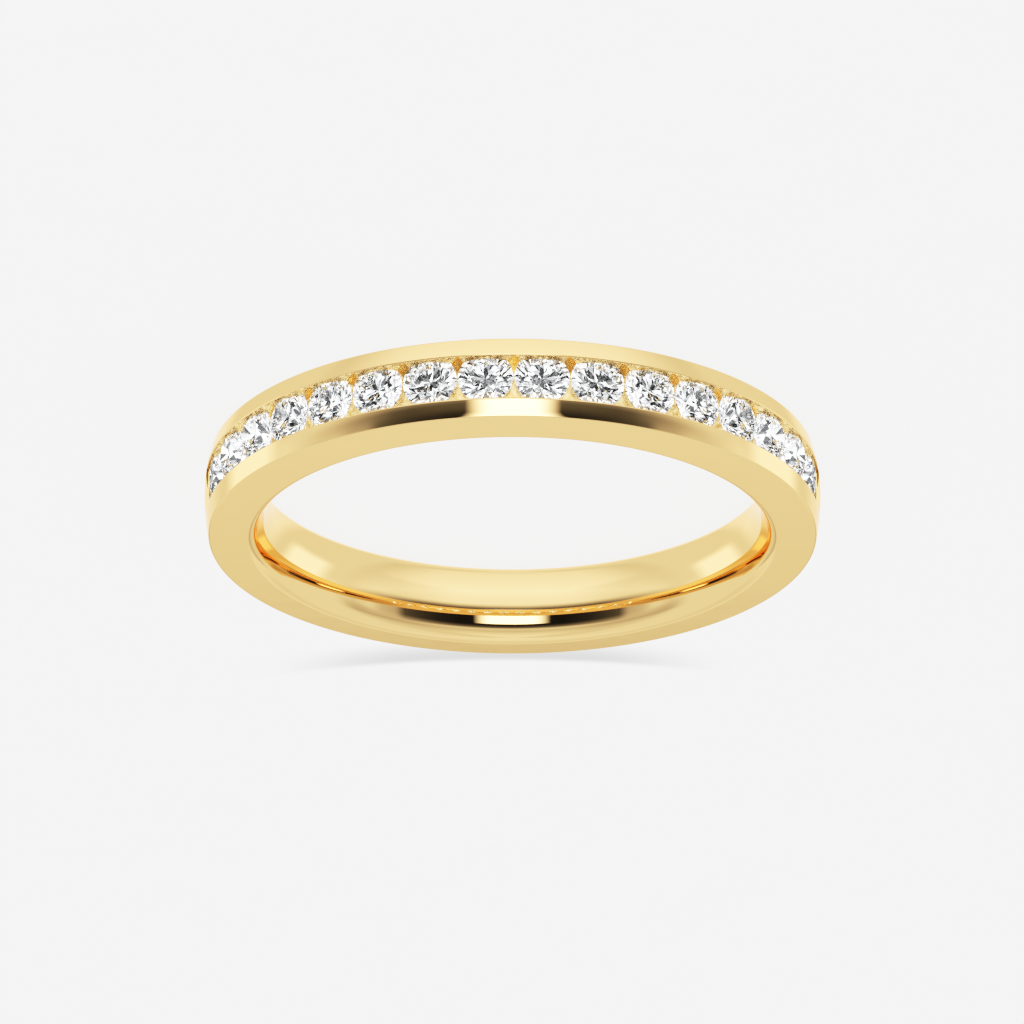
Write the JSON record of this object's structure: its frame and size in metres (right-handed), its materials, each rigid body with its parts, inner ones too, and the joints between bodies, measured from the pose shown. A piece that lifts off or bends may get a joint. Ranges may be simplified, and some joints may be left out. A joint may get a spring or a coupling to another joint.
{
  "type": "channel set band ring",
  "caption": "Polished yellow gold finger ring with round cut clear stones held in a channel between rails across its front half, and a finger hole with eased edges.",
  "frame": {"origin": "middle of the finger hole, half way through the band's width", "axes": "+Z along the finger hole, -Y towards the middle of the row of stones, +X to the right of someone who faces the stones; the ring lies on its side face at the low end of Z"},
  "size_m": [0.0212, 0.0212, 0.0028],
  "materials": {
    "gold": "mirror polished yellow gold",
    "diamond": "colourless faceted stone, polished"
  },
  "bodies": {
    "root": {"band": "gold", "stone_01": "diamond", "stone_02": "diamond", "stone_03": "diamond", "stone_04": "diamond", "stone_05": "diamond", "stone_06": "diamond", "stone_07": "diamond", "stone_08": "diamond", "stone_09": "diamond", "stone_10": "diamond", "stone_11": "diamond", "stone_12": "diamond", "stone_13": "diamond", "stone_14": "diamond", "stone_15": "diamond", "stone_16": "diamond"}
  },
  "joints": []
}
